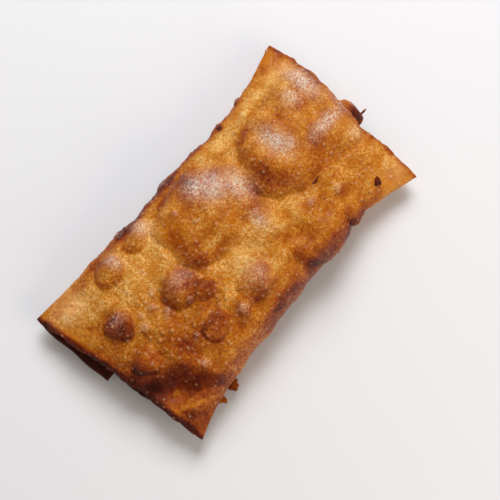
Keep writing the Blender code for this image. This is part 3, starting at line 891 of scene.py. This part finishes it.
def fried_material(name, look, offset=0.0, marked=True, roughness=CRUST_ROUGHNESS, grain=1.0):
    """Browned dough with a crackled skin; a marked piece carries its doneness and marks as attributes."""
    material = bpy.data.materials.new(name)
    material.use_nodes = True
    tree = material.node_tree
    build = NodeBuilder(tree)
    shader = tree.nodes["Principled BSDF"]
    place = build.add("ShaderNodeTexCoord").outputs["Object"]
    group = build.add("ShaderNodeGroup", node_tree=grain_group())
    tree.links.new(place, group.inputs["Vector"])
    group.inputs["Grain Size"].default_value = look.grain_size * grain
    grains = group.outputs
    blotch = build.noise(place, BLOTCH_SCALE, 3.0, 0.6, 0.3)
    rough = build.ramp(blotch, 0.3, 0.7, roughness - ROUGHNESS_SPREAD, roughness + ROUGHNESS_SPREAD)
    if marked:
        tree.links.new(build.attribute("smooth_skin"), group.inputs["Smoothness"])
        level = done = build.attribute("doneness")
        paler = build.times(build.minus(PALEST_THREADS, done), look.threads)
    else:
        level = PLAIN_DONENESS + offset
        paler = (PALEST_THREADS - PLAIN_DONENESS) * look.threads
    level = build.plus(build.times(build.minus(blotch, 0.5), look.blotches), level)
    level = build.plus(level, build.times(build.minus(grains["Shade"], 0.5), look.mottling))
    # The threads show in freckled areas, and little between them
    freckled = build.ramp(blotch, 0.64, 0.44, 0.35, 1.1)
    level = build.minus(level, build.times(build.times(grains["Threads"], freckled), paler))
    colour = ramp_node(build, level, [(stop, getattr(look, shade)[:3]) for stop, shade in CRUST_STOPS])
    if marked:
        # Partly a painted highlight: the tips of pimples and beads paled towards the pimple colour
        tips = build.times(build.math("POWER", build.attribute("pimple"), 1.5), PIMPLE_PALE_AND_GLINT)
        beads = build.times(build.attribute("bead"), BEAD_PALE_AND_GLINT)
        spots = build.times(grains["Spots"], SPOT_PALE)
        pale = build.math("MAXIMUM", build.math("MAXIMUM", tips, beads), spots)
        colour = mix_colour(build, pale, colour, look.pimple)
        # Painted sheen: the window's highlights laid on as a pale milky colour, speckled by the threads; the
        # same mask makes the skin a little smoother
        sheen_and_oil = build.attribute("oily_skin")
        lit = build.plus(build.times(grains["Threads"], PAINTED_SHEEN_ON_THREADS), PAINTED_SHEEN_BETWEEN, clamp=True)
        colour = mix_colour(build, build.times(build.times(sheen_and_oil, lit), look.painted_sheen_share), colour, look.painted_sheen)
        rough = build.minus(rough, build.times(sheen_and_oil, look.oil))
    tree.links.new(colour, shader.inputs["Base Color"])
    tree.links.new(rough, shader.inputs["Roughness"])
    relief = {"Height": grains["Height"], "Strength": 1.0, "Distance": look.grain_depth}
    bump = build.add("ShaderNodeBump", relief)
    tree.links.new(bump.outputs["Normal"], shader.inputs["Normal"])
    shader.inputs["Specular IOR Level"].default_value = SPECULAR
    return material


def srgb(red, green, blue):
    """Scene colour from the 0..255 values that a screen shows."""
    def linear(value):
        value /= 255
        return value / 12.92 if value <= 0.04045 else ((value + 0.055) / 1.055) ** 2.4
    return (linear(red), linear(green), linear(blue))


def length_property(name, description, default):
    return bpy.props.FloatProperty(
        name=name, description=description, default=default, min=0.0, precision=5, unit="LENGTH"
    )


def colour_property(name, description, default):
    return bpy.props.FloatVectorProperty(
        name=name, description=description, default=default, min=0.0, max=1.0, size=3, subtype="COLOR"
    )


def share_property(name, description, default):
    return bpy.props.FloatProperty(
        name=name, description=description, default=default, min=0.0, max=1.0, subtype="FACTOR"
    )


def power_property(name, description, default):
    return bpy.props.FloatProperty(name=name, description=description, default=default, min=0.0, unit="POWER")


class PacketSizes(bpy.types.PropertyGroup):
    half_length: length_property("Half length", "From the middle to the cut end of the sheet", 0.082)
    crown_height: length_property("Crown height", "Height of the plump middle without its blisters", 0.027)
    lip_top_height: length_property("Lip top", "Height of the upper layer at the open ends", 0.016)
    lip_underside_height: length_property("Lip underside", "Gap under the lower layer at the ends", 0.004)
    waist_ear_height: length_property("Side height", "Height of the widest line along the middle", 0.012)
    end_ear_height: length_property("Ear height", "Height of the pointed corners", 0.0095)
    sheet_thickness: length_property("Sheet thickness", "Thickness of the outer dough", 0.0018)
    resting_half_length: length_property("Resting half length", "Half of the stretch that lies flat", 0.056)
    crumple: length_property("Crumple", "Height of the broad unevenness", 0.00045)
    pimple_spacing: length_property("Pimple spacing", "Least distance between large pimples", 0.0036)
    pimple_radius: length_property("Pimple radius", "Radius of the largest pimples", 0.0012)
    pimple_height: length_property("Pimple height", "Height of the largest pimples", 0.0007)
    bead_spacing: length_property("Bead spacing", "Least distance between fine pimples", 0.0021)
    bead_radius: length_property("Bead radius", "Radius of the finest pimples", 0.0008)
    bead_height: length_property("Bead height", "Height of the finest pimples", 0.00035)


class CrustLook(bpy.types.PropertyGroup):
    pale: colour_property("Pale", "Dough that is fried least", srgb(238, 185, 106))
    golden: colour_property("Golden", "Golden dough", srgb(210, 140, 50))
    amber: colour_property("Amber", "Amber dough", srgb(186, 106, 13))
    brown: colour_property("Brown", "Well-fried dough", srgb(154, 68, 4))
    dark: colour_property("Dark", "Dark blisters and slopes", srgb(106, 34, 2))
    burnt: colour_property("Burnt", "Burnt edges", srgb(62, 16, 4))
    # Colour of the pimple tips, partly a painted highlight
    pimple: colour_property("Pimple", "Tips of the pimples", srgb(242, 190, 138))
    # Painted highlight: colour of the sheen laid where the window's highlights fall
    painted_sheen: colour_property("Film", "Milky film of oil and starch on the blisters", srgb(236, 230, 220))
    grain_size: length_property("Grain size", "Size of the fine crackle", 0.0011)
    grain_depth: length_property("Grain depth", "Depth of the fine crackle", 0.0004)
    blotches: share_property("Blotches", "Change of doneness over several millimetres", 0.26)
    mottling: share_property("Mottling", "Change of doneness from grain to grain", 0.3)
    threads: share_property("Threads", "How pale the worm-like threads of the crackle are", 0.46)
    # How strongly the painted sheen covers the crust's colour
    painted_sheen_share: share_property("Haze", "How much the film covers the crust's colour", 0.88)
    oil: share_property("Oil", "How much smoother the oily skin is", 0.08)


class StageLook(bpy.types.PropertyGroup):
    floor: colour_property("Floor", "Pale floor", srgb(226, 226, 229))
    window_power: power_property("Window", "Power of the large window light", 22.5)
    bounce_power: power_property("Bounce", "Power of the warm light from the other side", 2.6)
    sky_strength: share_property("Sky", "Brightness of the even light all round", 0.3)
    camera_distance: length_property("Camera distance", "From the camera to the packet", 0.7)
    camera_elevation: bpy.props.FloatProperty(
        name="Camera elevation",
        description="Angle of the camera above the floor",
        default=math.radians(82.5),
        subtype="ANGLE",
        unit="ROTATION",
    )


class OuterSheet(bpy.types.Operator):
    """Make the blistered outer sheet of dough"""

    bl_idname = "spring_roll.outer_sheet"
    bl_label = "Outer sheet"

    def execute(self, context):
        sizes = context.scene.packet_sizes
        packet = Packet(sizes)
        raised = packet.raised(packet.grid(ROWS))
        left = packet.end_rings(raised[0], -1)
        right = packet.end_rings(raised[-1], 1)
        sheet = closed_rings("outer_sheet", [*left[::-1], *raised, *right])
        points = mesh_points(sheet)
        add_attribute(sheet, "doneness", doneness(packet, points))
        add_attribute(sheet, "smooth_skin", smooth_skin(points))
        add_attribute(sheet, "oily_skin", oily_skin(points))
        add_attribute(sheet, "pimple_chance", pimple_chance(points))
        material = fried_material("fried_crust", context.scene.crust_look)
        tree = pimple_tree()
        passes = (
            ("pimple", 5, sizes.pimple_spacing, sizes.pimple_radius, sizes.pimple_height),
            ("bead", 9, sizes.bead_spacing, sizes.bead_radius, sizes.bead_height),
        )
        for mark, seed, spacing, radius, height in passes:
            modifier = sheet.modifiers.new(mark, "NODES")
            modifier.node_group = tree
            inputs = {"Spacing": spacing, "Radius": radius, "Height": height}
            set_inputs(modifier, inputs | {"Seed": seed, "Mark": mark, "Material": material})
        apply_modifiers(sheet)
        place_piece(sheet, material)
        return {"FINISHED"}


class InnerFolds(bpy.types.Operator):
    """Make the folded layers of dough that show inside both ends"""

    bl_idname = "spring_roll.inner_folds"
    bl_label = "Inner folds"

    def execute(self, context):
        packet = Packet(context.scene.packet_sizes)
        raised = packet.raised(packet.grid(END_ROWS))
        look = context.scene.crust_look
        material = fried_material("fold_dough", look, offset=0.22, marked=False, roughness=0.6, grain=0.8)
        for name, ring, end in (("left_folds", raised[0], -1), ("right_folds", raised[-1], 1)):
            place_piece(self.folds(name, packet.inner_ring(ring), end), material)
        return {"FINISHED"}

    @staticmethod
    def folds(name, inner, end):
        y = np.linspace(inner[0, 1] - FOLD_MARGIN, inner[TOP_COLUMNS, 1] + FOLD_MARGIN, FOLD_COLUMNS)
        top, bottom = ring_heights(inner, y)
        share = np.linspace(0, 1, FOLD_ROWS)
        z = mixed((bottom - FOLD_OVERLAP)[:, None], (top + FOLD_OVERLAP)[:, None], share)
        across = np.repeat(y[:, None], FOLD_ROWS, axis=1)
        wave = FOLD_WAVE * np.sin(across / FOLD_WAVE_LENGTH + end)
        wave += FOLD_RIPPLE * np.sin(across / FOLD_RIPPLE_LENGTH)
        ridge = np.abs(np.cos(math.pi * LAYERS * share + LAYER_SWAY * wave))
        setback = FOLDS_SETBACK - FOLD_RIDGE * ridge + EDGE_SWAY * wave
        edge = edge_place(end, across)
        front = np.stack([edge - end * setback, across, z], axis=-1)
        front[..., 0] += FOLD_ROUGHNESS * ripple(front, FOLD_ROUGH_LENGTH, seed=41)
        back = np.stack([edge - end * FOLDS_DEPTH, across, z], axis=-1)
        return closed_rings(name, np.concatenate([front, back[:, ::-1]], axis=1))


class DarkFlap(bpy.types.Operator):
    """Make the dark lower layer that sticks out at the left end"""

    bl_idname = "spring_roll.dark_flap"
    bl_label = "Dark flap"

    def execute(self, context):
        packet = Packet(context.scene.packet_sizes)
        y = np.linspace(*FLAP_SPAN, FLAP_COLUMNS)
        over, under = ring_heights(packet.raised(packet.grid(END_ROWS))[0], y)
        low = under + FLAP_LIFT
        high = np.minimum(low + FLAP_THICKNESS, over - FLAP_LIFT)
        low = np.minimum(low, high - FLAP_THINNEST)
        corner = FLAP_CORNER * smoothstep((y - FLAP_CORNER_Y) / FLAP_CORNER_REACH)
        reach = FLAP_EDGE_X + corner + FLAP_WAVER * np.sin(y / FLAP_WAVE_LENGTH)
        round_edge = [
            (FLAP_ROUNDING * (1 - math.sin(turn)), (1 - math.cos(turn)) / 2)
            for turn in np.radians(range(0, 181, 20))
        ]
        profile = [(FLAP_DEPTH, 0), (FLAP_KINK, 0), *round_edge, (FLAP_KINK, 1), (FLAP_DEPTH, 1)]
        rings = []
        for place, level, thickness, edge in zip(y, low, high - low, reach):
            rings.append(np.array([(edge + inward, place, level + up * thickness) for inward, up in profile]))
        look = context.scene.crust_look
        # The flap's near-black is partly its frying and partly painted shade under the upper layer
        material = fried_material("burnt_dough", look, offset=0.62, marked=False, roughness=0.5)
        place_piece(closed_rings("dark_flap", rings), material)
        return {"FINISHED"}


class FoldLump(bpy.types.Operator):
    """Make the rounded inner fold and its burnt corner at the right end"""

    bl_idname = "spring_roll.fold_lump"
    bl_label = "Fold lump"

    def execute(self, context):
        look = context.scene.crust_look
        fold = lump("fold_lump", (80.2, -2.0, 10.6), (8.4, 7.6, 4.9), 6, 0.05, seed=21, boxiness=0.75)
        burnt = smoothstep((LUMP_AMBER_Y - mesh_points(fold)[:, 1]) / LUMP_FADE)
        add_attribute(fold, "doneness", mixed(LUMP_AMBER, LUMP_BURNT, burnt))
        place_piece(fold, fried_material("lump_dough", look))
        corner = lump("burnt_corner", (84.0, -7.6, 9.7), (3.3, 2.9, 2.5), 5, roughness=0.08, seed=22)
        place_piece(corner, fried_material("burnt_lump", look, offset=0.45, marked=False, roughness=0.4))
        return {"FINISHED"}


class Shreds(bpy.types.Operator):
    """Make the burnt shreds of vegetable and the burst blister"""

    bl_idname = "spring_roll.shreds"
    bl_label = "Shreds"

    def execute(self, context):
        packet = Packet(context.scene.packet_sizes)
        look = context.scene.crust_look
        material = fried_material("burnt_shred", look, offset=0.5, marked=False, roughness=0.45)
        place_piece(shred("end_shred", END_SHRED, radius=0.65), material)
        curved = [(x, TOP_SHRED_Y + TOP_SHRED_CURVE * (x - TOP_SHRED_X) ** 2) for x in TOP_SHRED_STOPS]
        path = [(x, y, packet.top_at(x, TOP_SHRED_Y) + TOP_SHRED_LIFT) for x, y in curved]
        place_piece(shred("top_shred", path, radius=0.55), material)
        middle = (*BURST_PLACE, packet.top_at(*BURST_PLACE) - BURST_SUNK)
        burst = lump("burst_blister", middle, (1.9, 2.5, 1.5), 5, roughness=0.2, seed=23)
        place_piece(burst, material)
        return {"FINISHED"}


class Crumbs(bpy.types.Operator):
    """Make the crumbs of batter that stick to the bulging side"""

    bl_idname = "spring_roll.crumbs"
    bl_label = "Crumbs"

    def execute(self, context):
        look = context.scene.crust_look
        near = lump("near_crumb", (-58, -42.2, 5.4), (1.8, 3.4, 1.3), 5, roughness=0.22, seed=24)
        place_piece(near, fried_material("crumb_dough", look, offset=0.12, marked=False, roughness=0.6))
        far = lump("far_crumb", (-49.5, -42.6, 5.2), (2.9, 3.0, 1.3), 5, roughness=0.22, seed=25)
        place_piece(far, fried_material("dark_crumb", look, offset=0.32, marked=False, roughness=0.5))
        return {"FINISHED"}


class Stage(bpy.types.Operator):
    """Make the pale floor, the lights and the camera"""

    bl_idname = "spring_roll.stage"
    bl_label = "Stage"

    def execute(self, context):
        look = context.scene.stage_look
        self.floor(look)
        self.sky(context.scene, look)
        area_light("window", WINDOW_PLACE, WINDOW_SIZE, look.window_power, WINDOW_COLOUR)
        area_light("warm_bounce", BOUNCE_PLACE, BOUNCE_SIZE, look.bounce_power, BOUNCE_COLOUR)
        self.camera(context.scene, look)
        return {"FINISHED"}

    @staticmethod
    def floor(look):
        bpy.ops.mesh.primitive_plane_add(size=FLOOR_SIZE, location=(0, 0, -FLOOR_DROP))
        floor = bpy.context.object
        floor.name = "floor"
        material = bpy.data.materials.new("pale_floor")
        material.use_nodes = True
        shader = material.node_tree.nodes["Principled BSDF"]
        shader.inputs["Base Color"].default_value = (*look.floor, 1)
        shader.inputs["Roughness"].default_value = FLOOR_ROUGHNESS
        floor.data.materials.append(material)

    @staticmethod
    def sky(scene, look):
        scene.world = bpy.data.worlds.new("even_light")
        scene.world.use_nodes = True
        background = scene.world.node_tree.nodes["Background"]
        background.inputs["Color"].default_value = (*SKY_COLOUR, 1)
        background.inputs["Strength"].default_value = look.sky_strength

    @staticmethod
    def camera(scene, look):
        right, up = picture_axes()
        data = bpy.data.cameras.new("camera")
        camera = bpy.data.objects.new("camera", data)
        scene.collection.objects.link(camera)
        aim = right * AIM_RIGHT - up * AIM_DOWN - Vector((MIDDLE_X, MIDDLE_Y, 0)) * MILLIMETRE
        aim.z = AIM_HEIGHT
        back = Vector((0, 0, 1)) * math.sin(look.camera_elevation) - up * math.cos(look.camera_elevation)
        turned = Matrix((right, back.cross(right).normalized(), back)).transposed().to_4x4()
        camera.matrix_world = Matrix.Translation(aim + back * look.camera_distance) @ turned
        data.sensor_width = 36
        data.lens = data.sensor_width * look.camera_distance / FIELD_WIDTH
        scene.camera = camera


def picture_axes():
    """Directions on the floor that run right and up in the picture."""
    right = Vector((math.cos(PICTURE_TURN), -math.sin(PICTURE_TURN), 0))
    up = Vector((math.sin(PICTURE_TURN), math.cos(PICTURE_TURN), 0))
    return right, up


def area_light(name, place, size, power, colour):
    """Soft square light that faces the packet, placed by how far right, up the picture and high it is."""
    data = bpy.data.lights.new(name, "AREA")
    data.shape = "SQUARE"
    data.size = size
    data.energy = power
    data.color = colour
    right, up = picture_axes()
    light = bpy.data.objects.new(name, data)
    light.location = right * place[0] + up * place[1] + Vector((0, 0, place[2]))
    light.rotation_mode = "QUATERNION"
    light.rotation_quaternion = light.location.to_track_quat("Z", "Y")
    bpy.context.scene.collection.objects.link(light)


def lump(name, middle, radii, subdivisions, roughness, seed, boxiness=1.0):
    """Uneven rounded lump; a boxiness below 1 makes it squarer."""
    shape = bmesh.new()
    bmesh.ops.create_icosphere(shape, subdivisions=subdivisions, radius=1)
    directions = np.array([vertex.co[:] for vertex in shape.verts])
    faces = [tuple(vertex.index for vertex in face.verts) for face in shape.faces]
    shape.free()
    size = 1 + roughness * ripple(directions, LUMP_WAVE, seed)
    size += LUMP_GRAIN * ripple(directions, LUMP_GRAIN_LENGTH, seed + 1)
    shaped = np.sign(directions) * np.abs(directions) ** boxiness
    return mesh_object(name, np.array(middle) + shaped * np.array(radii) * size[:, None], faces)


def shred(name, path, radius):
    """Thin tapering strip of burnt vegetable along a path."""
    places = np.array(path, float)
    steps = np.linspace(0, len(places) - 1, SHRED_RINGS)
    centre = np.stack([np.interp(steps, range(len(places)), values) for values in places.T], axis=1)
    centre[1:-1] = (centre[:-2] + 2 * centre[1:-1] + centre[2:]) / 4
    turns = np.linspace(0, 2 * math.pi, SHRED_SIDES, endpoint=False)
    rings = []
    for middle, share in zip(centre, np.linspace(-1, 1, SHRED_RINGS)):
        width = radius * mixed(SHRED_TIP, 1, math.sqrt(max(0.0, 1 - share**4)))
        around = np.stack([0 * turns, np.cos(turns), SHRED_FLATNESS * np.sin(turns)], axis=1)
        ring = middle + width * around
        rings.append(ring + SHRED_ROUGHNESS * ripple(ring, SHRED_ROUGH_LENGTH, seed=51)[:, None])
    return closed_rings(name, rings)


class SpringRollPanel(bpy.types.Panel):
    """Sizes, colours and pieces of the spring roll"""

    bl_idname = "VIEW3D_PT_spring_roll"
    bl_label = "Spring roll"
    bl_space_type = "VIEW_3D"
    bl_region_type = "UI"
    bl_category = "Spring roll"

    def draw(self, context):
        for group in (context.scene.packet_sizes, context.scene.crust_look, context.scene.stage_look):
            box = self.layout.box()
            for name in group.bl_rna.properties.keys():
                if name not in {"rna_type", "name"}:
                    box.prop(group, name)
        for operator in PIECES:
            self.layout.operator(operator.bl_idname)


PIECES = (OuterSheet, InnerFolds, DarkFlap, FoldLump, Shreds, Crumbs, Stage)
GROUPS = {"packet_sizes": PacketSizes, "crust_look": CrustLook, "stage_look": StageLook}


def register():
    for cls in (*GROUPS.values(), *PIECES, SpringRollPanel):
        bpy.utils.register_class(cls)
    for name, group in GROUPS.items():
        setattr(bpy.types.Scene, name, bpy.props.PointerProperty(type=group))


def unregister():
    for name in GROUPS:
        delattr(bpy.types.Scene, name)
    for cls in (SpringRollPanel, *PIECES[::-1], *GROUPS.values()):
        bpy.utils.unregister_class(cls)


def main():
    register()
    bpy.context.scene.view_settings.view_transform = "Standard"
    for operator in PIECES:
        group, name = operator.bl_idname.split(".")
        getattr(getattr(bpy.ops, group), name)()


if __name__ == "__main__":
    main()
